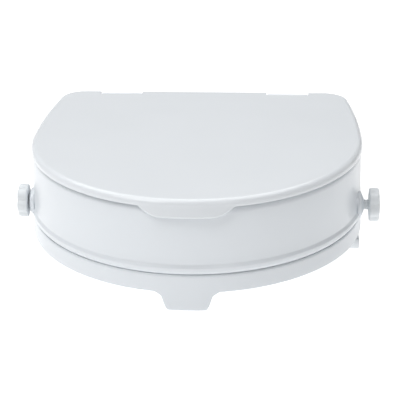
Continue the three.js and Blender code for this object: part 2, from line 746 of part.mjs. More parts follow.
function nutSolid() {
  const nutInnerX = nutOuterX - nut.thickness;
  const holeRadius = spindle.radius + gap;
  const hole = roundX(nutInnerX - 1, nutOuterX + 1, clamp.y, clamp.z, holeRadius, holeRadius, 24);
  return cut(hexAlongX(nut.acrossFlats, nutInnerX, nutOuterX, 1), hole);
}

function knobSolid() {
  const shape = new THREE.Shape();
  const steps = knob.lobes * 12;
  for (let i = 0; i < steps; i += 1) {
    const angle = (i / steps) * 2 * Math.PI;
    const radius = knob.radius - knob.bevel + knob.lobeDepth * Math.cos(knob.lobes * angle);
    const point = [radius * Math.cos(angle), radius * Math.sin(angle)];
    if (i) shape.lineTo(...point);
    else shape.moveTo(...point);
  }
  const bevel = { bevelThickness: knob.bevel, bevelSize: knob.bevel, bevelSegments: 2 };
  const depth = knob.thickness - 2 * knob.bevel;
  const geometry = new THREE.ExtrudeGeometry(shape, { depth, bevelEnabled: true, ...bevel, curveSegments: 1 });
  geometry.rotateY(Math.PI / 2).translate(knobInnerX + knob.bevel, clamp.y, clamp.z);
  const boreRadius = spindle.radius + gap;
  const boreEnd = knobInnerX + spindle.knobDepth;
  return cut(solid(geometry), roundX(knobInnerX - 1, boreEnd, clamp.y, clamp.z, boreRadius, boreRadius, 24));
}

function sideClamp(side) {
  const name = side > 0 ? 'right' : 'left';
  const fixed = new THREE.Group();
  fixed.scale.x = side;
  fixed.add(piece(`spindle_nut_${name}`, nutSolid(), steel));
  const travelling = new THREE.Group();
  travelling.position.x = side > 0 ? 0 : -travelIn;
  travelling.add(piece(`clamp_bracket_${name}`, clampBracket(), clampWhite));
  travelling.add(piece(`clamp_pad_${name}`, clampPad(), softGrey));
  travelling.add(piece(`clamp_spindle_${name}`, spindleSolid(), clampWhite));
  travelling.add(piece(`spindle_retainer_${name}`, retainerSolid(), steel));
  travelling.add(piece(`clamp_knob_${name}`, knobSolid(), clampWhite));
  fixed.add(travelling);
  return fixed;
}

// ---------------------------------------------------------------- assembly

const seat = new THREE.Group();
seat.add(piece('seat_shell', seatShell(), shellWhite));
seat.add(piece('base_ring', baseRing(), shellWhite));
seat.add(piece('splash_guard', splashGuard(), shellWhite));
seat.add(piece('lid', lidSolid(), lidWhite));

for (const side of [-1, 1]) {
  const name = side > 0 ? 'right' : 'left';
  seat.add(piece(`hinge_block_${name}`, hingeBlock(side), shellWhite));
  seat.add(piece(`hinge_pin_${name}`, hingePin(side), steel));
  seat.add(sideClamp(side));
  ['front', 'rear'].forEach((end, i) => {
    seat.add(rimPadPiece(`rim_pad_${end}_${name}`, side, rimPad.angles[i]));
    seat.add(lidBufferPiece(`lid_buffer_${end}_${name}`, side, [buffer.frontY, buffer.rearY][i]));
  });
}

const hingePlateTop = deck.z + gap + hingePlate.thickness;
hingeScrewPlaces.forEach(({ side, x }) => {
  const where = Math.abs(x) > hingeMiddle ? 'outer' : 'inner';
  const name = `hinge_screw_${where}_${side > 0 ? 'right' : 'left'}`;
  seat.add(screwPiece(name, hingeScrew, x, hingeScrewY, hingePlateTop + gap, false));
});

ringScrewPlaces.forEach(({ side, x, y }, i) => {
  const name = `ring_screw_${['front', 'middle', 'rear'][Math.floor(i / 2)]}_${side > 0 ? 'right' : 'left'}`;
  seat.add(screwPiece(name, ringScrew, x, y, rimPlane - gap, true));
});

export default seat;
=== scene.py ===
"""Looks for a raised toilet seat with a hinged lid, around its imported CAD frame.

Lengths here are in millimetres, in the frame's own axes: the seat's front faces -Y, +Z is up.
They are turned to metres only where a mesh is made.
"""

import math

import bmesh
import bpy
from mathutils import Matrix, Vector


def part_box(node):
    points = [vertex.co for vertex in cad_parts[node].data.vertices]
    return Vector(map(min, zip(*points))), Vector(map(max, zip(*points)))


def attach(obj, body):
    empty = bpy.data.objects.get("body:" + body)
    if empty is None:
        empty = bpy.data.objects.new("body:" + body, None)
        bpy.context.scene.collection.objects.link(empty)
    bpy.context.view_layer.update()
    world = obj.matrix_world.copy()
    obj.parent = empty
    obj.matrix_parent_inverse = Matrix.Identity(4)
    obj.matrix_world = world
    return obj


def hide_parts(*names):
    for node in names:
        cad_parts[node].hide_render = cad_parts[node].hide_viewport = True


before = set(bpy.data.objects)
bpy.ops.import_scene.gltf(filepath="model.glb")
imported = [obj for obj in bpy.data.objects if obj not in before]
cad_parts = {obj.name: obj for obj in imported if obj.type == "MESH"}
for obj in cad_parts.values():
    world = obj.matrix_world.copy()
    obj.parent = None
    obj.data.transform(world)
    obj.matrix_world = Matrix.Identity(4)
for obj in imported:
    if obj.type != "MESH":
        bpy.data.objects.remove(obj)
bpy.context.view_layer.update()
MM = 0.001
MIRROR = Matrix.Scale(-1, 4, Vector((1, 0, 0)))
ON_AXIS = 0.01  # radius that stands for the axis in a turned profile
SIDE_NAME = {-1: "left", 1: "right"}


def node_box(node):
    """A CAD node's lowest and highest corners in millimetres."""
    low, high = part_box(node)
    return low / MM, high / MM


# ---------------------------------------------------------------- driving dimensions

shell_low, shell_high = node_box("seat_shell")
lid_low, lid_high = node_box("lid")
GUARD_TOP = node_box("splash_guard")[1].z
plate_low, plate_high = node_box("hinge_block_right")
pin_low, pin_high = node_box("hinge_pin_right")

SEAT_TOP = shell_high.z
RIM_PLANE = 20.0
BAND_TOP = RIM_PLANE + 19.6
LID_TOP = lid_high.z
LID_UNDER = LID_TOP - 3.0
LID_RIM_BOTTOM = LID_TOP - 8.5
LIP_DROP = LID_RIM_BOTTOM - lid_low.z

# The body's plan outline at its widest: a half ellipse in front, long side arcs, round rear corners.
BODY = {
    "half": shell_high.x,
    "front": shell_low.y,
    "rear": shell_high.y,
    "widest": 21.5,
    "side": 1000.0,
    "corner": 30.0,
}
LID_OVERHANG = 0.5  # past the body at the front and the rear
APERTURE = {"a": 105.0, "b": 125.0, "y": -8.0}  # half width, half length and middle
CROWN_INSET = 16.0
APERTURE_RIM = 22.0
WALL = 3.0
GAP = 0.3  # between pieces that touch

HINGE_Y = (pin_low.y + pin_high.y) / 2
HINGE_Z = (pin_low.z + pin_high.z) / 2
KNUCKLE = 6.5
NOTCH = (plate_low.x - 1.0, plate_high.x + 1.0)
NOTCH_FRONT = HINGE_Y - KNUCKLE - 1.5
KNUCKLE_LENGTH = 13.5
TAB_HOLLOW = 5.0
DECK_Z = plate_low.z - GAP
DECK_Y = HINGE_Y - 14.0

# The tongue's half width at each depth below the rim plane.
TONGUE = ((34.0, 0.0), (27.0, 4.5), (23.5, 15.0), (19.5, 20.0))
RING_SCREWS = ("front", "middle", "rear")
RIM_PAD = {"length": 46.0, "width": 16.0}
LIP = {"half_top": 49.5, "half_bottom": 27.0, "proud": 2.5}

# ---------------------------------------------------------------- mesh helpers


def new_object(name, verts, faces, angle=32):
    """A mesh object from points in millimetres, smooth except where it bends by more than angle degrees."""
    mesh = bpy.data.meshes.new(name)
    mesh.from_pydata([(x * MM, y * MM, z * MM) for x, y, z in verts], [], faces)
    bm = bmesh.new()
    bm.from_mesh(mesh)
    bmesh.ops.remove_doubles(bm, verts=bm.verts, dist=1e-7)
    bmesh.ops.dissolve_degenerate(bm, dist=1e-7, edges=bm.edges)
    bmesh.ops.recalc_face_normals(bm, faces=bm.faces)
    bm.to_mesh(mesh)
    bm.free()
    obj = bpy.data.objects.new(name, mesh)
    bpy.context.scene.collection.objects.link(obj)
    shade(obj, angle)
    return obj


def shade(obj, angle=32):
    obj.data.shade_smooth()
    obj.data.set_sharp_from_angle(angle=math.radians(angle))


def loft(name, rings, closed=False, angle=32):
    """A skin through rings of points. A closed row of rings makes a ring-shaped body, others are capped."""
    count = len(rings[0])
    verts = [p for ring in rings for p in ring]
    faces = []
    spans = len(rings) if closed else len(rings) - 1
    for k in range(spans):
        a, b = k * count, ((k + 1) % len(rings)) * count
        for i in range(count):
            j = (i + 1) % count
            faces.append((a + i, a + j, b + j, b + i))
    if not closed:
        faces.append(tuple(reversed(range(count))))
        faces.append(tuple(range(len(verts) - count, len(verts))))
    return new_object(name, verts, faces, angle)


def apply_modifiers(obj):
    """Turns the object's modifiers into its mesh."""
    bpy.context.view_layer.update()
    evaluated = obj.evaluated_get(bpy.context.evaluated_depsgraph_get())
    mesh = bpy.data.meshes.new_from_object(evaluated)
    obj.modifiers.clear()
    obj.data = mesh


def bevel(obj, width, segments=3, angle=32):
    """Rounds the edges that bend by more than angle degrees."""
    modifier = obj.modifiers.new("bevel", "BEVEL")
    modifier.width = width * MM
    modifier.segments = segments
    modifier.limit_method = "ANGLE"
    modifier.angle_limit = math.radians(angle)
    modifier.miter_outer = "MITER_ARC"
    apply_modifiers(obj)
    shade(obj, angle)
    return obj


def boolean(obj, other, operation):
    """Cuts, joins or crosses obj with other, which is used up."""
    modifier = obj.modifiers.new("boolean", "BOOLEAN")
    modifier.operation = operation
    modifier.object = other
    modifier.solver = "EXACT"
    apply_modifiers(obj)
    shade(obj)
    bpy.data.objects.remove(other)
    return obj


def flat_normals(obj):
    """Makes large flat faces shade flat, with all of the bending in the small faces beside them."""
    modifier = obj.modifiers.new("normals", "WEIGHTED_NORMAL")
    modifier.keep_sharp = True
    modifier.weight = 100
    apply_modifiers(obj)
    return obj


def merge(name, *objs):
    """One object holding the meshes of several."""
    bm = bmesh.new()
    for obj in objs:
        bm.from_mesh(obj.data)
        bpy.data.objects.remove(obj)
    mesh = bpy.data.meshes.new(name)
    bm.to_mesh(mesh)
    bm.free()
    merged = bpy.data.objects.new(name, mesh)
    bpy.context.scene.collection.objects.link(merged)
    shade(merged)
    return merged


def fillet(corners, steps=6):
    """A path through (u, v, radius) corners, each rounded by an arc of its radius."""
    path = []
    for i, (u, v, radius) in enumerate(corners):
        point = Vector((u, v))
        if radius <= 0 or i in (0, len(corners) - 1):
            path.append(point)
            continue
        before = (Vector(corners[i - 1][:2]) - point).normalized()
        after = (Vector(corners[i + 1][:2]) - point).normalized()
        half = before.angle(after) / 2
        reach = radius / math.tan(half)
        centre = point + (before + after).normalized() * (radius / math.sin(half))
        start = point + before * reach - centre
        end = point + after * reach - centre
        sweep = start.angle_signed(end)
        for step in range(steps + 1):
            turn = -sweep * step / steps
            cos, sin = math.cos(turn), math.sin(turn)
            path.append(centre + Vector((start.x * cos - start.y * sin, start.x * sin + start.y * cos)))
    return [(p.x, p.y) for p in path]


def closed_fillet(corners, steps=5):
    """The same for a closed path."""
    wrapped = [corners[-1], *corners, corners[0]]
    return fillet(wrapped, steps)[1:-1]


def smooth_path(points, steps=5):
    """A Catmull-Rom curve through points."""
    ends = [points[0], *points, points[-1]]
    path = []
    for i in range(1, len(ends) - 2):
        p0, p1, p2, p3 = (Vector(p) for p in ends[i - 1 : i + 3])
        for step in range(steps):
            t = step / steps
            curve = 2 * p1 + (p2 - p0) * t + (2 * p0 - 5 * p1 + 4 * p2 - p3) * t**2
            curve += (3 * p1 - p0 - 3 * p2 + p3) * t**3
            path.append(tuple(curve / 2))
    path.append(tuple(points[-1]))
    return path


def prism(name, outline, to_point, low, high, round_by=0.5, segments=3):
    """An outline pushed from low to high; to_point turns (u, v, depth) into (x, y, z)."""
    rings = [[to_point(u, v, depth) for u, v in outline] for depth in (low, high)]
    made = loft(name, rings)
    return bevel(made, round_by, segments) if round_by else made


def lathe(name, profile, to_point, steps=48, angle=32):
    """A profile of (distance along, radius) turned round an axis, with a cap at each end."""
    rings = []
    for along, radius in profile:
        turns = [2 * math.pi * i / steps for i in range(steps)]
        rings.append([to_point(along, radius * math.cos(t), radius * math.sin(t)) for t in turns])
    return loft(name, rings, angle=angle)


def in_plan(u, v, depth):
    """For a prism whose outline lies in plan."""
    return u, v, depth


def box_object(name, low, high, round_by=0.0):
    """A box between two corners, with rounded edges where round_by is given."""
    outline = [(low[0], low[1]), (high[0], low[1]), (high[0], high[1]), (low[0], high[1])]
    return prism(name, outline, in_plan, low[2], high[2], round_by)


# ---------------------------------------------------------------- plan outlines

FRONT_STEPS, SIDE_STEPS, CORNER_STEPS, REAR_STEPS = 72, 24, 16, 40


def half_outline(plan):
    """Plan points from the middle of the front to the right end of the straight rear edge."""
    half, front, widest = plan["half"], plan["front"], plan["widest"]
    side_x = half - plan["side"]
    corner_y = plan["rear"] - plan["corner"]
    reach = plan["side"] - plan["corner"]
    turn = math.asin((corner_y - widest) / reach)
    corner_x = side_x + reach * math.cos(turn)
    points = []
    for i in range(FRONT_STEPS):
        t = (i / FRONT_STEPS - 1) * math.pi / 2
        points.append((half * math.cos(t), widest + (widest - front) * math.sin(t)))
    for i in range(SIDE_STEPS):
        t = turn * i / SIDE_STEPS
        points.append((side_x + plan["side"] * math.cos(t), widest + plan["side"] * math.sin(t)))
    for i in range(CORNER_STEPS + 1):
        t = turn + (math.pi / 2 - turn) * i / CORNER_STEPS
        points.append((corner_x + plan["corner"] * math.cos(t), corner_y + plan["corner"] * math.sin(t)))
    return points


def mirrored_loop(half):
    """The whole loop from its right half, which goes from the front's middle to the rear's middle."""
    return half + [(-x, y) for x, y in reversed(half[1:-1])]


def with_rear_edge(half, plan):
    """The whole loop from half_outline's points, closed by the straight rear edge."""
    end = half[-1][0]
    edge = [(end * (1 - i / REAR_STEPS), plan["rear"]) for i in range(1, REAR_STEPS + 1)]
    return mirrored_loop(half + edge)


def body_loop(plan):
    return with_rear_edge(half_outline(plan), plan)


def inward(loop, inset):
    """The loop moved inwards along its own normals."""
    count = len(loop)
    moved = []
    for i, (x, y) in enumerate(loop):
        ahead, behind = loop[(i + 1) % count], loop[i - 1]
        tangent = Vector((ahead[0] - behind[0], ahead[1] - behind[1])).normalized()
        moved.append((x - inset * tangent.y, y + inset * tangent.x))
    return moved


body_outline = body_loop(BODY)


def aperture_loop(grow, loop=None):
    """The aperture's oval, grown by grow, with a point in the direction of each of loop's, or the body's."""
    a, b = APERTURE["a"] + grow, APERTURE["b"] + grow
    points = []
    for x, y in loop or body_outline:
        t = math.atan2(y - APERTURE["y"], x)
        reach = 1 / math.hypot(math.cos(t) / a, math.sin(t) / b)
        points.append((reach * math.cos(t), APERTURE["y"] + reach * math.sin(t)))
    return points


def mix(one, other, share):
    """The loop that lies a share of the way from one to the other."""
    return [(x + (u - x) * share, y + (v - y) * share) for (x, y), (u, v) in zip(one, other)]


def raised(loop, z, dip=None):
    """The loop at height z, less the dip at each x."""
    return [(x, y, z - (dip(x) if dip else 0)) for x, y in loop]


def width_at(y, inset=0.0):
    """Half the body's width at a y in front of its rear corners."""
    along = y - BODY["widest"]
    if along < 0:
        length = BODY["widest"] - BODY["front"] - inset
        return (BODY["half"] - inset) * math.sqrt(1 - (along / length) ** 2)
    return BODY["half"] - BODY["side"] + math.sqrt((BODY["side"] - inset) ** 2 - along**2)


def ease(t):
    t = min(1.0, max(0.0, t))
    return t * t * (3 - 2 * t)


# ---------------------------------------------------------------- seat shell


def hygiene_dip(x):
    """How far the front and the rear of the sitting surface sink at a distance x from the middle."""
    depth, spread = 6, 42
    return depth * math.exp(-((x / spread) ** 2))


def shell_body():
    """The deep wall with its bead, the sitting surface and the lip round the aperture, as one 3 mm skin."""
    outer = fillet(
        [
            (5.2, BAND_TOP + 0.4, 0),
            (3.1, BAND_TOP + 0.4, 0.7),
            (0.0, BAND_TOP + 4.0, 3.4),
            (0.0, BAND_TOP + 8.0, 2.4),
            (2.2, BAND_TOP + 11.4, 2.8),
            (2.6, BAND_TOP + 36.0, 30.0),
            (3.2, SEAT_TOP, 11.0),
            (CROWN_INSET, SEAT_TOP, 0),
        ],
        7,
    )
    rings = [raised(inward(body_outline, inset), z) for inset, z in outer]
    crown_out, crown_in = inward(body_outline, CROWN_INSET), aperture_loop(APERTURE_RIM)
    crown_steps = 14
    for i in range(1, crown_steps):
        share = i / crown_steps
        rings.append(
            raised(
                mix(crown_out, crown_in, share),
                SEAT_TOP - 1.4 * share**2.2,
                lambda x, s=share: hygiene_dip(x) * ease(s) / 2,
            )
        )
    # Distance out from the aperture, height below the sitting surface, share of the hygiene dip.
    throat = [(22, 1.4, 0.5), (10, 5.2, 0.85), (3, 11.5, 0.9), (0.5, 19, 0.3), (0, 24, 0), (0, 30.6, 0)]
    for grow, down, share in smooth_path(throat):
        rings.append(raised(aperture_loop(grow), SEAT_TOP - down, lambda x, s=share: hygiene_dip(x) * s))
    lip_bottom = SEAT_TOP - 31.5
    lip_edge = [(0, lip_bottom + 2, 0), (0, lip_bottom, 1), (2.5, lip_bottom, 1), (2.5, lip_bottom + 9, 0)]
    for grow, z in fillet(lip_edge, 4):
        rings.append(raised(aperture_loop(grow), z))
    for grow, down, share in ((3.5, 19, 0.3), (6, 13.5, 0.9), (12, 8.4, 0.85)):
        rings.append(raised(aperture_loop(grow), SEAT_TOP - down, lambda x, s=share: hygiene_dip(x) * s))
    for inset, z in ((CROWN_INSET, SEAT_TOP - WALL), (9, SEAT_TOP - 5), (6.2, SEAT_TOP - 12)):
        rings.append(raised(inward(body_outline, inset), z))
    rings.append(raised(inward(body_outline, 5.2), BAND_TOP + 17))
    return loft("seat_shell_skin", rings, closed=True)


def along_spindle(side):
    """Turns (distance out from the middle, y, z) about a spindle's axis into (x, y, z)."""
    return lambda out, u, v: (side * out, CLAMP_Y + u, CLAMP_Z + v)


def boss(side):
    """The cone that a clamp's spindle comes out of, flared into the wall and rounded at its mouth."""
    wall_x = width_at(CLAMP_Y)
    root, mouth = CLAMP_Z - BAND_TOP - 0.5, SPINDLE + 1.4
    tip = wall_x + 2.8
    cone = [(wall_x - 4, root, 0), (wall_x - 0.2, root, 1.6), (tip, mouth, 0.7), (tip, SPINDLE, 0)]
    profile = [(wall_x - 4, ON_AXIS), *fillet(cone, 6), (tip, ON_AXIS)]
    return lathe("boss", profile, along_spindle(side), 72)


def nut_housing(side):
    """The block inside the wall that holds the clamp's nut."""
    low, high = node_box("spindle_nut_right")
    half = (high.z - low.z) / 2 + 2.5
    corners = [(-half, -half, 2), (half, -half, 2), (half, half, 2), (-half, half, 2)]
    inside, outside = low.x - 1.0, width_at(CLAMP_Y, 4.0)
    place = along_spindle(side)
    block = prism("housing", closed_fillet(corners), lambda u, v, d: place(d, u, v), inside, outside, 0)
    pocket_half = half - 2.2
    sixths = [math.pi * i / 3 for i in range(6)]
    pocket = [(pocket_half * math.cos(t), pocket_half * math.sin(t)) for t in sixths]
    hollow = prism("pocket", pocket, lambda u, v, d: place(d, v, u), inside - 1, high.x + GAP, 0)
    return boolean(block, hollow, "DIFFERENCE")


def screw_post(node):
    """The post that a base ring screw goes up into, tied to the wall by a rib."""
    low, high = node_box(node)
    x, y = (low.x + high.x) / 2, (low.y + high.y) / 2
    bottom, top, radius = RIM_PLANE + WALL + 0.4, BAND_TOP + 26, 4.8
    profile = [(bottom, ON_AXIS), (bottom, radius - 0.5), (bottom + 0.5, radius)]
    profile += [(top, radius), (top, ON_AXIS)]
    post = lathe("post", profile, lambda a, u, v: (x + u, y + v, a), 32)
    near, far = sorted((x, math.copysign(width_at(y, 4.0), x)))
    rib = box_object("rib", (near, y - 1.5, BAND_TOP + 10), (far, y + 1.5, top))
    return boolean(post, rib, "UNION")


def deck_and_step():
    """The lowered rear deck that carries the hinges, and the step up to the sitting surface."""
    right = [p for p in inward(body_outline, 3.05) if p[1] > DECK_Y - WALL and p[0] >= 0]
    right.sort(key=lambda p: p[1] - 1e-3 * p[0])
    loop = right + [(-x, y) for x, y in reversed(right)]
    deck = prism("deck", loop, in_plan, DECK_Z - WALL, DECK_Z, 0)
    width = width_at(DECK_Y - 10) - 9
    step = box_object("step", (-width, DECK_Y - WALL, DECK_Z - WALL), (width, DECK_Y, SEAT_TOP - 1.6))
    return deck, step


def seat_shell():
    """The shell's skin with its rear deck, screw posts, nut housings and bosses."""
    shell = shell_body()
    space = box_object("space", (-220, DECK_Y, DECK_Z), (220, 240, LID_TOP))
    boolean(shell, space, "DIFFERENCE")
    inner_parts = [*deck_and_step()]
    for place in RING_SCREWS:
        inner_parts += [screw_post(f"ring_screw_{place}_{hand}") for hand in SIDE_NAME.values()]
    for side in SIDE_NAME:
        inner_parts += [nut_housing(side), boss(side)]
    for part in inner_parts:
        boolean(shell, part, "UNION")
    inside, outside, radius = width_at(CLAMP_Y) - 30, width_at(CLAMP_Y) + 10, SPINDLE + GAP
    bore = [(inside, ON_AXIS), (inside, radius), (outside, radius), (outside, ON_AXIS)]
    for side in SIDE_NAME:
        boolean(shell, lathe("bore", bore, along_spindle(side), 48), "DIFFERENCE")
    shell.name = "seat_shell_moulding"
    return shell


# ---------------------------------------------------------------- base ring and splash guard


def tongue_drop(x):
    """How far the tongue hangs below the rim plane at a distance x from the middle."""
    x = abs(x)
    for (wide, low), (narrow, deep) in zip(TONGUE, TONGUE[1:]):
        if narrow <= x <= wide:
            share = (wide - x) / (wide - narrow)
            if deep == TONGUE[-1][1]:
                share = math.sin(share * math.pi / 2)
            return low + (deep - low) * share
    return 0.0 if x > TONGUE[0][0] else TONGUE[-1][1]


def tongue_columns(plan):
    """The body's loop with extra points across the front, so that the tongue's sides come out clean."""
    half = half_outline(plan)
    dense = []
    limit = TONGUE[0][0] + 4
    steps = 64
    for i in range(steps):
        x = limit * i / steps
        y = plan["widest"] - (plan["widest"] - plan["front"]) * math.sqrt(1 - (x / plan["half"]) ** 2)
        dense.append((x, y))
    return with_rear_edge(dense + [p for p in half if p[0] > limit or p[1] > 0], plan)


def base_ring():
    """The channel under the shell, with its flange on the rim plane and its tongue."""
    loop = tongue_columns(BODY)
    hang = [tongue_drop(x) if y < 0 else 0.0 for x, y in loop]

    def band(inset, z):
        share = min(1.0, max(0.0, (RIM_PLANE + 4 - z) / 4))
        return [(x, y, z - drop * share) for (x, y), drop in zip(inward(loop, inset), hang)]

    outer = fillet(
        [
            (3.0, RIM_PLANE, 0),
            (1.0, RIM_PLANE, 1.2),
            (1.0, RIM_PLANE + 5, 0),
            (1.5, BAND_TOP - 2, 3),
            (2.4, BAND_TOP, 0.9),
            (8.0, BAND_TOP, 0),
        ],
        6,
    )
    rings = [band(inset, z) for inset, z in outer]
    rings += [band(8.0, BAND_TOP - 2), band(4.6, BAND_TOP - 4), band(4.0, RIM_PLANE + WALL + 1.5)]
    rings += [band(6.0, RIM_PLANE + WALL)]
    opening = aperture_loop(6.3, loop)
    rings += [raised(opening, RIM_PLANE + WALL), raised(opening, RIM_PLANE)]
    # The tongue's inner face goes back up to the flange just behind its lower edge.
    under = [(x, y, RIM_PLANE) for x, y in inward(loop, 6.2)]
    inner = [(x, y, RIM_PLANE - max(0.0, drop - 1.0)) for (x, y), drop in zip(inward(loop, 5.2), hang)]
    rings += [under, inner, band(4.6, RIM_PLANE)]
    made = loft("base_ring_skin", rings, closed=True)
    for side in SIDE_NAME:
        boolean(made, clamp_slot(side), "DIFFERENCE")
    made.name = "base_ring_moulding"
    return made


def clamp_slot(side):
    """The cutter of a slot through the flange, with rounded corners, for a clamp's bracket."""
    x0, x1 = bracket_low.x - 6.4, bracket_low.x + 22.0
    y0, y1 = CLAMP_Y - 10.6, CLAMP_Y + 10.6
    corners = [(x0, y0, 2), (x1, y0, 2), (x1, y1, 2), (x0, y1, 2)]
    outline = [(side * u, v) for u, v in closed_fillet(corners)]
    return prism("slot", outline, in_plan, RIM_PLANE - 2, RIM_PLANE + WALL + 2, 0)


def splash_guard():
    """The tube that goes down through the base ring, with its collar on the flange."""
    collar_low, collar_high = RIM_PLANE + WALL + GAP, RIM_PLANE + WALL + 2.8
    profile = closed_fillet(
        [
            (3.2, 0, 1.3),
            (6.0, 0, 1.3),
            (6.0, collar_low, 0.4),
            (12.0, collar_low, 0.6),
            (12.0, collar_high, 0.6),
            (6.0, collar_high, 0.6),
            (6.0, GUARD_TOP, 0.8),
            (3.2, GUARD_TOP, 0.8),
        ],
        5,
    )
    return loft("splash_guard_tube", [raised(aperture_loop(grow), z) for grow, z in profile], closed=True)


# ---------------------------------------------------------------- lid


def lid_plan():
    """The body's outline with the lid's own width and overhang."""
    return {
        **BODY,
        "half": lid_high.x,
        "front": BODY["front"] - LID_OVERHANG,
        "rear": BODY["rear"] + LID_OVERHANG,
    }


def rear_cutter():
    """What is cut from the lid's rear edge: a notch for each hinge and the hollow between them."""
    rear = lid_plan()["rear"]
    inner, outer = NOTCH
    radius = (inner**2 + TAB_HOLLOW**2) / (2 * TAB_HOLLOW)
    notch = [(outer, rear + 10, 0), (outer, NOTCH_FRONT, 2.2)]
    notch += [(inner, NOTCH_FRONT, 2.2), (inner, rear - 0.01, 0)]
    steps = 24
    across = [inner * (1 - i / steps) for i in range(1, steps)]
    half = fillet(notch, 6) + [(x, rear - hollow_depth(x, radius)) for x in across]
    outline = [*half, (0, rear - TAB_HOLLOW), *[(-x, y) for x, y in reversed(half)]]
    return prism("rear_cutter", outline, in_plan, LID_RIM_BOTTOM - 2, LID_TOP + 2, 0)


def hollow_depth(x, radius):
    """How far the edge between the hinges lies in front of the rear line."""
    return math.sqrt(radius**2 - x**2) - (radius - TAB_HOLLOW)


def lip_drop(x):
    """How far the finger lip hangs below the lid's rim at a distance x from the middle."""
    share = (LIP["half_top"] - abs(x)) / (LIP["half_top"] - LIP["half_bottom"])
    share = min(1.0, max(0.0, share))
    return LIP_DROP * math.sin(share * math.pi / 2)


def dense_front(loop):
    """More points where the finger lip is, so that its curves come out clean."""
    dense = []
    count = len(loop)
    for i, (x0, y0) in enumerate(loop):
        x1, y1 = loop[(i + 1) % count]
        near = y0 < 0 and abs(x0) < LIP["half_top"] + 6
        pieces = 4 if near else 1
        dense += [(x0 + (x1 - x0) * k / pieces, y0 + (y1 - y0) * k / pieces) for k in range(pieces)]
    return dense


def lid_moulding():
    """The lid's skin and rim, with its finger lip and its cut rear edge."""
    loop = dense_front(body_loop(lid_plan()))
    drops = [lip_drop(x) if y < 0 else 0.0 for x, y in loop]
    rim_wall = 2.6
    normals = [Vector((a[0] - b[0], a[1] - b[1])) for a, b in zip(loop, inward(loop, 1.0))]

    def ring(inset, z, lip_share=0.0):
        """lip_share is 1 on the rim's lower edge and 0 from the skin up."""
        points = []
        for (x, y), drop, normal in zip(loop, drops, normals):
            out = LIP["proud"] * (drop / LIP_DROP) * lip_share - inset
            points.append((x + normal.x * out, y + normal.y * out, z - drop * lip_share))
        return points

    top = fillet([(0, LID_TOP - 6.4, 0), (0, LID_TOP, 6.2), (10, LID_TOP, 0)], 10)
    rings = [ring(6.5, LID_UNDER), ring(4.2, LID_UNDER)]
    rings += [ring(rim_wall, LID_UNDER - 1.5, 0.1), ring(rim_wall, LID_RIM_BOTTOM + 1.2, 0.85)]
    edge = fillet([(rim_wall, 1.2, 0), (rim_wall, 0, 0.9), (0, 0, 0.9), (0, 1.2, 0)], 4)[1:-1]
    rings += [ring(inset, LID_RIM_BOTTOM + up, 1.0 - 0.1 * up) for inset, up in edge]
    rings += [ring(0, LID_RIM_BOTTOM + 1 + 0.2 * i, 0.9 - 0.225 * i) for i in range(4)]
    rings += [ring(inset, z) for inset, z in top]
    skin = loft("lid_skin", rings)
    # Behind the front of the hinge deck the lid has no rim, only its skin.
    wide = BODY["half"] + 10
    rim = box_object("rim", (-wide, DECK_Y, LID_RIM_BOTTOM - 3), (wide, BODY["rear"] + 10, LID_UNDER))
    boolean(skin, rim, "DIFFERENCE")
    boolean(skin, rear_cutter(), "DIFFERENCE")
    return bevel(skin, 1.1, 3, 42)


def across_hinge(u, v, depth):
    """For a prism whose outline lies across the hinge's axis."""
    return depth, u, v


def knuckle_outline(web_top):
    """Section of a knuckle across the hinge's axis: a barrel with a web up to web_top."""
    half = 5.6
    start = math.acos(half / KNUCKLE)
    arc = []
    steps = 40
    for i in range(steps + 1):
        t = start - (math.pi + 2 * start) * i / steps
        arc.append((HINGE_Y + KNUCKLE * math.cos(t), HINGE_Z + KNUCKLE * math.sin(t)))
    return [(HINGE_Y - half, web_top), (HINGE_Y + half, web_top), *arc]


def lid_knuckles():
    """A knuckle on each side of each notch."""
    spans = [(NOTCH[0] - KNUCKLE_LENGTH, NOTCH[0]), (NOTCH[1], NOTCH[1] + KNUCKLE_LENGTH)]
    spans += [(-high, -low) for low, high in spans]
    outline = knuckle_outline(LID_UNDER + 0.4)
    return [prism("knuckle", outline, across_hinge, low + 0.05, high - 0.05, 0.7) for low, high in spans]


def lid():
    """The lid with its four knuckles."""
    skin = lid_moulding()
    for knuckle in lid_knuckles():
        boolean(skin, knuckle, "UNION")
    skin.name = "lid_moulding"
    return flat_normals(skin)


# ---------------------------------------------------------------- hinges and screws


def hinge_block(side):
    """A barrel on a web that stands on a screwed-down plate."""
    low, high = plate_low.x, plate_high.x
    base, top = DECK_Z + GAP, DECK_Z + 3.7
    front, rear = DECK_Y + 2, BODY["rear"] - 4
    ahead, behind = 4.2, 4.6
    web_front, web_rear = HINGE_Y - ahead, HINGE_Y + behind
    arc = []
    steps = 40
    first = math.atan2(-math.sqrt(KNUCKLE**2 - behind**2), behind)
    last = math.atan2(-math.sqrt(KNUCKLE**2 - ahead**2), -ahead)
    sweep = last % (2 * math.pi) - first
    for i in range(steps + 1):
        t = first + sweep * i / steps
        arc.append((HINGE_Y + KNUCKLE * math.cos(t), HINGE_Z + KNUCKLE * math.sin(t)))
    outline = [(rear, base), (rear, top), (web_rear, top), *arc]
    outline += [(web_front, top), (front, top), (front, base)]
    made = prism("hinge_block", outline, across_hinge, low, high, 0.6)
    made.name = f"hinge_block_moulding_{SIDE_NAME[side]}"
    if side < 0:
        made.data.transform(MIRROR)
        made.data.flip_normals()
    return made


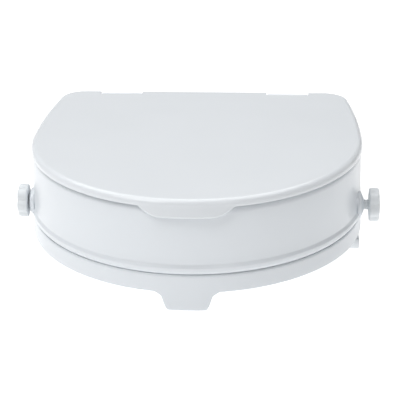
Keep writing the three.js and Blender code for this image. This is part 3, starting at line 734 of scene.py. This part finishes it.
def hinge_pin(side):
    """A turned pin with its head at the inner end."""
    low, high = node_box(f"hinge_pin_{SIDE_NAME[side]}")
    inner, outer = (low.x, high.x) if side > 0 else (high.x, low.x)
    head = [(0.0, ON_AXIS), (0.0, 3.2), (0.25, 4.1), (0.7, 4.6), (1.9, 4.6), (2.2, 4.3), (2.2, 3.0)]
    profile = [(inner + side * along, radius) for along, radius in head]
    profile += [(outer - side * 0.7, 3.0), (outer - side * 0.15, 2.6), (outer, ON_AXIS)]
    name = f"hinge_pin_turned_{SIDE_NAME[side]}"
    return lathe(name, profile, lambda a, u, v: (a, HINGE_Y + u, HINGE_Z + v), 40)


def screw(node, head_up):
    """A cross-head screw in the place of a CAD one."""
    low, high = node_box(node)
    x, y = (low.x + high.x) / 2, (low.y + high.y) / 2
    radius = (high.x - low.x) / 2
    face = high.z if head_up else low.z
    away = 1 if head_up else -1
    height = 2.2 if head_up else 1.7
    # Depth below the head's top and radius, from the point up to the head's edge, then the head's dome.
    shank = [(height + 14, ON_AXIS), (height + 12, 1.8), (height, 1.9)]
    shank += [(height, radius - 0.2), (height - 0.3, radius)]
    dome = [(height * (1 - t), radius * math.cos(t * math.pi / 2) ** 0.6) for t in (0.35, 0.55, 0.75, 0.9)]
    profile = [(face - away * depth, wide) for depth, wide in [*shank, *dome, (0, ON_AXIS)]]
    made = lathe(f"{node}_turned", profile, lambda a, u, v: (x + u, y + v, a), 40)
    arm, thin, deep = radius * 0.55, 0.45, 1.1
    for wide, tall in ((arm, thin), (thin, arm)):
        z0, z1 = sorted((face - away * deep, face + away * 0.5))
        cross = box_object("cross", (x - wide, y - tall, z0), (x + wide, y + tall, z1))
        boolean(made, cross, "DIFFERENCE")
    return made


# ---------------------------------------------------------------- side clamps

spindle_low, spindle_high = node_box("clamp_spindle_right")
bracket_low, bracket_high = node_box("clamp_bracket_right")
knob_low, knob_high = node_box("clamp_knob_right")
CLAMP_Y = (spindle_low.y + spindle_high.y) / 2
CLAMP_Z = (spindle_low.z + spindle_high.z) / 2
SPINDLE = (spindle_high.y - spindle_low.y) / 2
THREAD_PITCH = 3.0


def place_side(obj, side, node, name):
    """Puts a piece made for the right-hand clamp on its own side, over its CAD node."""
    obj.name = name
    if side < 0:
        low, _ = node_box(node.format("right"))
        _, high = node_box(node.format("left"))
        # The two clamps don't rest at the same distance from the middle.
        shift = (low.x + high.x) * MM
        obj.data.transform(Matrix.Translation((shift, 0, 0)) @ MIRROR)
        obj.data.flip_normals()
    return obj


def round_spindle(along, u, v):
    """For a lathe round the right-hand spindle's axis."""
    return along, CLAMP_Y + u, CLAMP_Z + v


def star_knob():
    """Six rounded lobes with narrow grooves, a domed outer face and a sunk cap in its middle."""
    radius, depth, lobes, turn = 18.5, 3.4, 6, math.radians(20)
    thick = knob_high.x - knob_low.x
    steps = 180

    def ring(along, shrink):
        points = []
        for i in range(steps):
            t = 2 * math.pi * i / steps
            wave = math.sqrt(math.cos(lobes / 2 * (t - turn)) ** 2 + 0.02)
            r = radius - depth * (1 - wave) - shrink
            points.append((knob_low.x + along, CLAMP_Y - r * math.sin(t), CLAMP_Z - r * math.cos(t)))
        return points

    section = fillet([(0.4, 12.0, 0), (0.0, 0.0, 2.0), (thick - 1.2, 0.0, 2.6), (thick, 16.5, 0)], 7)
    body = loft("knob_body", [ring(along, shrink) for along, shrink in section], angle=50)
    # Depth below the knob's outer face, and radius.
    cap = ((2.9, 5.6), (0.9, 5.61), (0.25, 5.2), (0.0, 4.6), (0.5, 3.9), (0.5, ON_AXIS))
    profile = [(knob_high.x - below, wide) for below, wide in cap]
    return merge("knob", body, lathe("cap", profile, round_spindle, 48))


def spindle(hand):
    """A threaded rod with a plain neck. hand is the direction the thread winds before any mirroring."""
    steps, per_pitch = 40, 12
    start, end = bracket_low.x + 5.3, spindle_high.x
    rings = []
    count = int((end - start) / THREAD_PITCH * per_pitch)
    for k in range(count + 1):
        x = start + (end - start) * k / count
        ring = []
        for i in range(steps):
            t = 2 * math.pi * i / steps
            phase = (x / THREAD_PITCH - hand * t / (2 * math.pi)) % 1.0
            r = SPINDLE - 0.75 * (1 - min(1.0, abs(2 * phase - 1) * 1.35))
            r -= 0.8 * max(0.0, 1 - (x - start) / 1.2)
            ring.append((x, CLAMP_Y + r * math.cos(t), CLAMP_Z + r * math.sin(t)))
        rings.append(ring)
    rod = loft("rod", rings, angle=60)
    neck = [(spindle_low.x, ON_AXIS), (spindle_low.x, 3.5), (spindle_low.x + 0.6, 4.0)]
    neck += [(start + 1, 4.0), (start + 1, ON_AXIS)]
    return merge("spindle", rod, lathe("neck", neck, round_spindle, 40))


def bracket():
    """The S-shaped bracket that hangs on the spindle's neck, with its round foot under the base ring."""
    low, high = bracket_low, bracket_high
    plate, thick, neck = low.x, 5.0, low.x + 12.0
    shelf = RIM_PLANE + WALL + 4
    foot_top = RIM_PLANE - 2.4
    section = closed_fillet(
        [
            (plate, shelf, 1.5),
            (neck, shelf, 2.0),
            (neck, foot_top - 4, 1.0),
            (neck + thick, foot_top - 4, 1.0),
            (neck + thick, shelf + 4, 2.0),
            (plate + thick, shelf + 4, 1.5),
            (plate + thick, high.z, 1.8),
            (plate, high.z, 1.8),
        ],
        5,
    )
    arm = prism("arm", section, lambda u, v, d: (u, CLAMP_Y + d, v), -10, 10, 0.7)
    foot_x, foot_out = neck + 3.0, high.x
    half, bottom = 12.0, low.z
    round_steps = 28
    turns = [math.pi + math.pi * i / round_steps for i in range(round_steps + 1)]
    outline = [(half * math.cos(t), bottom + half + half * math.sin(t)) for t in turns]
    outline += [(half, foot_top), (-half, foot_top)]
    foot = prism("foot", outline, lambda u, v, d: (d, CLAMP_Y + u, v), foot_x, foot_out, 1.6, 4)
    return merge("bracket", arm, foot)


def pad():
    """A ribbed rubber pad on the clamp's foot."""
    low, high = node_box("clamp_pad_right")
    half, steps = (high.y - low.y) / 2, 20
    centre_z = low.z + half
    outline = []
    cut = math.asin(min(1.0, (high.z - centre_z) / half))
    for i in range(steps + 1):
        t = math.pi - cut + (math.pi + 2 * cut) * i / steps
        outline.append((half * math.cos(t), centre_z + half * math.sin(t)))
    base = prism("pad", outline, lambda u, v, d: (d, CLAMP_Y + u, v), low.x + 0.7, high.x, 0.5)
    ribs = []
    for y in (CLAMP_Y + 4 * place for place in (-1.5, -0.5, 0.5, 1.5)):
        rib_low, rib_high = (low.x, y - 0.9, low.z + 2.2), (low.x + 1.4, y + 0.9, high.z - 1.2)
        ribs.append(box_object("rib", rib_low, rib_high, 0.35))
    return merge("pad", base, *ribs)


def rim_pad(node):
    """A round-ended anti-slip pad with a raised edge, lying along the CAD pad's own direction."""
    low, high = node_box(node)
    centre = (low + high) / 2
    direction = principal_direction([v.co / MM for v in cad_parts[node].data.vertices], centre)
    across = Vector((-direction.y, direction.x, 0))
    half_width = RIM_PAD["width"] / 2
    straight = RIM_PAD["length"] / 2 - half_width
    end_steps = 16

    def outline(shrink):
        radius = half_width - shrink
        points = []
        for end in (1, -1):
            for i in range(end_steps + 1):
                t = -math.pi / 2 + math.pi * i / end_steps
                points.append((end * (straight + radius * math.cos(t)), end * radius * math.sin(t)))
        return points

    def ring(shrink, z):
        return [tuple((centre + direction * u + across * v).xy) + (z,) for u, v in outline(shrink)]

    # Distance in from the pad's edge, and height above its underside.
    edge = [(0, 0.8), (0.25, 0.25), (0.8, 0), (2.2, 0), (2.5, 0.6)]
    middle = [(4.4, 0.6), (4.7, 0.1), (5.6, 0.1), (5.9, 0.6)]
    rings = [ring(0, high.z)] + [ring(shrink, low.z + up) for shrink, up in edge + middle]
    return loft(f"{node}_moulding", rings)


def principal_direction(vertices, centre):
    """The direction in plan along which the vertices spread the most."""
    sxx = sum((v.x - centre.x) ** 2 for v in vertices)
    syy = sum((v.y - centre.y) ** 2 for v in vertices)
    sxy = sum((v.x - centre.x) * (v.y - centre.y) for v in vertices)
    angle = 0.5 * math.atan2(2 * sxy, sxx - syy)
    return Vector((math.cos(angle), math.sin(angle), 0))


def lid_buffer(node):
    """A round rubber foot with a shallow dish in its face."""
    low, high = node_box(node)
    x, y, radius = (low.x + high.x) / 2, (low.y + high.y) / 2, (high.x - low.x) / 2
    side = fillet([(high.z, radius, 0), (low.z, radius, 0.8), (low.z, radius - 2.2, 0.4)], 4)
    profile = [(high.z, ON_AXIS), *side, (low.z + 0.5, radius - 2.6), (low.z + 0.5, ON_AXIS)]
    return lathe(f"{node}_moulding", profile, lambda a, u, v: (x + u, y + v, a), 40)


# ---------------------------------------------------------------- materials


class Nodes:
    """Short names for building a material's node tree."""

    def __init__(self, name):
        self.material = bpy.data.materials.new(name)
        self.material.use_nodes = True
        self.tree = self.material.node_tree
        self.shader = self.tree.nodes["Principled BSDF"]
        self.coords = self.add("ShaderNodeTexCoord").outputs["Object"]

    def add(self, kind, **values):
        node = self.tree.nodes.new(kind)
        for key, value in values.items():
            setattr(node, key, value)
        return node

    def link(self, a, b):
        self.tree.links.new(a, b)

    def drive(self, socket, source):
        self.link(source, self.shader.inputs[socket])

    def noise(self, scale, detail=4.0, roughness=0.5, stretch=None):
        node = self.add("ShaderNodeTexNoise")
        node.inputs["Scale"].default_value = scale
        node.inputs["Detail"].default_value = detail
        node.inputs["Roughness"].default_value = roughness
        source = self.coords
        if stretch:
            mapping = self.add("ShaderNodeMapping")
            mapping.inputs["Scale"].default_value = stretch
            self.link(source, mapping.inputs["Vector"])
            source = mapping.outputs["Vector"]
        self.link(source, node.inputs["Vector"])
        return node.outputs["Fac"]

    def ramp(self, fac, low, high, start=0.35, end=0.65):
        """Maps fac from start..end to low..high, which are colours or numbers."""
        if isinstance(low, tuple):
            node = self.add("ShaderNodeValToRGB")
            node.color_ramp.elements[0].position = start
            node.color_ramp.elements[1].position = end
            node.color_ramp.elements[0].color = (*low, 1)
            node.color_ramp.elements[1].color = (*high, 1)
            self.link(fac, node.inputs["Fac"])
            return node.outputs["Color"]
        node = self.add("ShaderNodeMapRange")
        node.inputs["From Min"].default_value = start
        node.inputs["From Max"].default_value = end
        node.inputs["To Min"].default_value = low
        node.inputs["To Max"].default_value = high
        self.link(fac, node.inputs["Value"])
        return node.outputs["Result"]

    def bumps(self, layers):
        """Bump layers of (height, distance in mm), one over the other."""
        normal = None
        for height, distance in layers:
            node = self.add("ShaderNodeBump")
            node.inputs["Strength"].default_value = 1.0
            node.inputs["Distance"].default_value = distance * MM
            self.link(height, node.inputs["Height"])
            if normal:
                self.link(normal, node.inputs["Normal"])
            normal = node.outputs["Normal"]
        self.drive("Normal", normal)


def moulded_plastic(name, light, dark, gloss, satin, grain, coat):
    """Injection-moulded plastic: faint flow clouds, patchy polish, shallow sink marks and orange peel.

    gloss and satin are the ends of its roughness, and grain is the depth of the peel in millimetres.
    """
    nodes = Nodes(name)
    clouds = nodes.noise(7.0, 1.0, 0.4)
    nodes.drive("Base Color", nodes.ramp(clouds, dark, light, 0.2, 0.8))
    polish = nodes.noise(16.0, 2.0, 0.45)
    nodes.drive("Roughness", nodes.ramp(polish, gloss, satin, 0.2, 0.8))
    peel = nodes.noise(230.0, 2.0, 0.4)
    sink = nodes.noise(11.0, 1.0, 0.3)
    nodes.bumps([(sink, 0.04), (peel, grain)])
    shader = nodes.shader.inputs
    shader["IOR"].default_value = 1.46
    shader["Coat Weight"].default_value = coat
    shader["Coat Roughness"].default_value = 0.14
    shader["Subsurface Weight"].default_value = 0.04
    shader["Subsurface Radius"].default_value = (1.0, 0.95, 0.9)
    shader["Subsurface Scale"].default_value = 1.2 * MM
    return nodes.material


def soft_rubber(name, light, dark):
    """Matt rubber with a fine moulded grain and dusty patches."""
    nodes = Nodes(name)
    dust = nodes.noise(70.0, 6.0, 0.6)
    nodes.drive("Base Color", nodes.ramp(dust, dark, light))
    nodes.drive("Roughness", nodes.ramp(dust, 0.62, 0.84))
    nodes.bumps([(nodes.noise(900.0, 3.0, 0.6), 0.05), (nodes.noise(160.0, 2.0, 0.5), 0.05)])
    nodes.shader.inputs["Sheen Weight"].default_value = 0.15
    return nodes.material


def turned_steel(name, light, dark):
    """Plated steel with fine machining lines and small stains."""
    nodes = Nodes(name)
    nodes.shader.inputs["Metallic"].default_value = 1.0
    stains = nodes.noise(120.0, 6.0, 0.62)
    nodes.drive("Base Color", nodes.ramp(stains, dark, light))
    lines = nodes.noise(300.0, 2.0, 0.5, stretch=(6.0, 1.0, 1.0))
    nodes.drive("Roughness", nodes.ramp(lines, 0.28, 0.42))
    nodes.bumps([(lines, 0.01)])
    return nodes.material


# Each plastic's light and dark colour, gloss and satin roughness, depth of orange peel, and coat.
# A roughness range stays on one side of 0.27, where the render's denoising would draw an edge.
PLASTICS = {
    "shell_white": ((0.775, 0.81, 0.845), (0.76, 0.795, 0.83), 0.285, 0.335, 0.0012, 0.15),
    "lid_white": ((0.775, 0.805, 0.835), (0.76, 0.79, 0.82), 0.215, 0.262, 0.0008, 0.15),
    "clamp_white": ((0.77, 0.80, 0.82), (0.73, 0.76, 0.78), 0.34, 0.44, 0.004, 0.04),
}
MATERIALS = {name: moulded_plastic(name, *values) for name, values in PLASTICS.items()}
MATERIALS["soft_grey"] = soft_rubber("soft_grey", (0.50, 0.51, 0.52), (0.42, 0.43, 0.44))
MATERIALS["steel"] = turned_steel("steel", (0.62, 0.64, 0.66), (0.48, 0.49, 0.51))

# ---------------------------------------------------------------- putting it together


def finish_piece(obj, body, slot, *nodes):
    """Gives a piece its material, its CAD body, and the CAD nodes that it stands for."""
    obj.data.materials.clear()
    obj.data.materials.append(MATERIALS[slot])
    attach(obj, body)
    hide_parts(*nodes)


finish_piece(seat_shell(), "seat", "shell_white", "seat_shell")
finish_piece(base_ring(), "seat", "shell_white", "base_ring")
finish_piece(splash_guard(), "seat", "shell_white", "splash_guard")
finish_piece(lid(), "lid", "lid_white", "lid")

for side, side_name in SIDE_NAME.items():
    finish_piece(hinge_block(side), "seat", "shell_white", f"hinge_block_{side_name}")
    finish_piece(hinge_pin(side), "lid", "steel", f"hinge_pin_{side_name}")
    makers = (
        (star_knob, "clamp_knob_{}", "knob", "clamp_white"),
        (lambda hand=side: spindle(hand), "clamp_spindle_{}", "knob", "clamp_white"),
        (bracket, "clamp_bracket_{}", "clamp", "clamp_white"),
        (pad, "clamp_pad_{}", "clamp", "soft_grey"),
    )
    for make, node, body, slot in makers:
        node_name = node.format(side_name)
        piece = place_side(make(), side, node, f"{node_name}_fine")
        finish_piece(piece, f"{body}_{side_name}", slot, node_name)
    for end in ("front", "rear"):
        node_name = f"rim_pad_{end}_{side_name}"
        finish_piece(rim_pad(node_name), "seat", "soft_grey", node_name)
        node_name = f"lid_buffer_{end}_{side_name}"
        finish_piece(lid_buffer(node_name), "lid", "soft_grey", node_name)
    for place in ("inner", "outer"):
        node_name = f"hinge_screw_{place}_{side_name}"
        finish_piece(screw(node_name, True), "seat", "steel", node_name)
    for place in RING_SCREWS:
        node_name = f"ring_screw_{place}_{side_name}"
        finish_piece(screw(node_name, False), "seat", "steel", node_name)
    for node in ("spindle_nut", "spindle_retainer"):
        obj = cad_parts[f"{node}_{side_name}"]
        obj.data.materials.clear()
        obj.data.materials.append(MATERIALS["steel"])

# ---------------------------------------------------------------- stage, light and camera


def pale_floor():
    """A plain white floor that reaches past the view, with enough light of its own to hold faint shadows."""
    half = 60.0
    mesh = bpy.data.meshes.new("floor")
    corners = [(-half, -half, 0), (half, -half, 0), (half, half, 0), (-half, half, 0)]
    mesh.from_pydata(corners, [], [(0, 1, 2, 3)])
    floor = bpy.data.objects.new("floor", mesh)
    bpy.context.scene.collection.objects.link(floor)
    nodes = Nodes("floor_paper")
    nodes.drive("Base Color", nodes.ramp(nodes.noise(3.0), (0.44, 0.44, 0.44), (0.46, 0.46, 0.46)))
    nodes.shader.inputs["Roughness"].default_value = 0.9
    nodes.shader.inputs["Specular IOR Level"].default_value = 0.1
    nodes.shader.inputs["Emission Color"].default_value = (1, 1, 1, 1)
    nodes.shader.inputs["Emission Strength"].default_value = 0.84
    mesh.materials.append(nodes.material)


def softbox(name, place, target, width, height, power):
    """A soft rectangular lamp in metres and watts, turned to the target."""
    data = bpy.data.lights.new(name, "AREA")
    data.shape = "RECTANGLE"
    data.size, data.size_y = width, height
    data.energy = power
    light = bpy.data.objects.new(name, data)
    light.location = place
    light.rotation_euler = (Vector(target) - Vector(place)).to_track_quat("-Z", "Y").to_euler()
    bpy.context.scene.collection.objects.link(light)


def studio():
    """A wide soft lamp overhead, a key from the left, a small fill from the right, and pale surroundings."""
    world = bpy.data.worlds.new("studio")
    world.use_nodes = True
    sky = world.node_tree
    background = sky.nodes["Background"]
    background.inputs["Strength"].default_value = 0.42
    direction = sky.nodes.new("ShaderNodeSeparateXYZ")
    sky.links.new(sky.nodes.new("ShaderNodeTexCoord").outputs["Generated"], direction.inputs["Vector"])

    def level(axis, start, end, low, high):
        """The light's level, which goes from low to high as a direction's axis goes from start to end."""
        node = sky.nodes.new("ShaderNodeMapRange")
        node.interpolation_type = "SMOOTHSTEP"
        for key, value in (("From Min", start), ("From Max", end), ("To Min", low), ("To Max", high)):
            node.inputs[key].default_value = value
        sky.links.new(direction.outputs[axis], node.inputs["Value"])
        return node.outputs["Result"]

    # Pale walls round the stage, brightest to the left, under a dim ceiling.
    walls = sky.nodes.new("ShaderNodeMath")
    walls.operation = "MULTIPLY"
    sky.links.new(level("Z", 0.15, 0.6, 1.0, 0.15), walls.inputs[0])
    sky.links.new(level("X", -0.7, 0.8, 0.7, 0.2), walls.inputs[1])
    sky.links.new(walls.outputs["Value"], background.inputs["Color"])
    bpy.context.scene.world = world
    target = (0, 0, 0.06)
    softbox("key", (-1.2, -1.2, 2.0), target, 1.2, 1.2, 17)
    softbox("top", (-0.2, 0.4, 2.2), target, 3.4, 3.2, 72)
    softbox("front_fill", (0.9, -2.0, 1.5), target, 0.5, 0.35, 4)


def camera():
    """A long lens a little to the right of the middle and 20 degrees up, level to within half a degree."""
    yaw, elevation, roll, distance = 0.058, 0.354, -0.008, 1.7
    target = Vector((0.0, -0.0085, 0.07))
    back = Vector(
        (math.sin(yaw) * math.cos(elevation), -math.cos(yaw) * math.cos(elevation), math.sin(elevation))
    )
    data = bpy.data.cameras.new("camera")
    data.sensor_width = 36.0
    data.lens = 135.7
    data.shift_x, data.shift_y = 0.010, -0.033
    made = bpy.data.objects.new("camera", data)
    turn = (-back).to_track_quat("-Z", "Y").to_matrix().to_4x4() @ Matrix.Rotation(roll, 4, "Z")
    made.matrix_world = Matrix.Translation(target + back * distance) @ turn
    bpy.context.scene.collection.objects.link(made)
    bpy.context.scene.camera = made


pale_floor()
studio()
camera()
bpy.context.scene.view_settings.view_transform = "Standard"
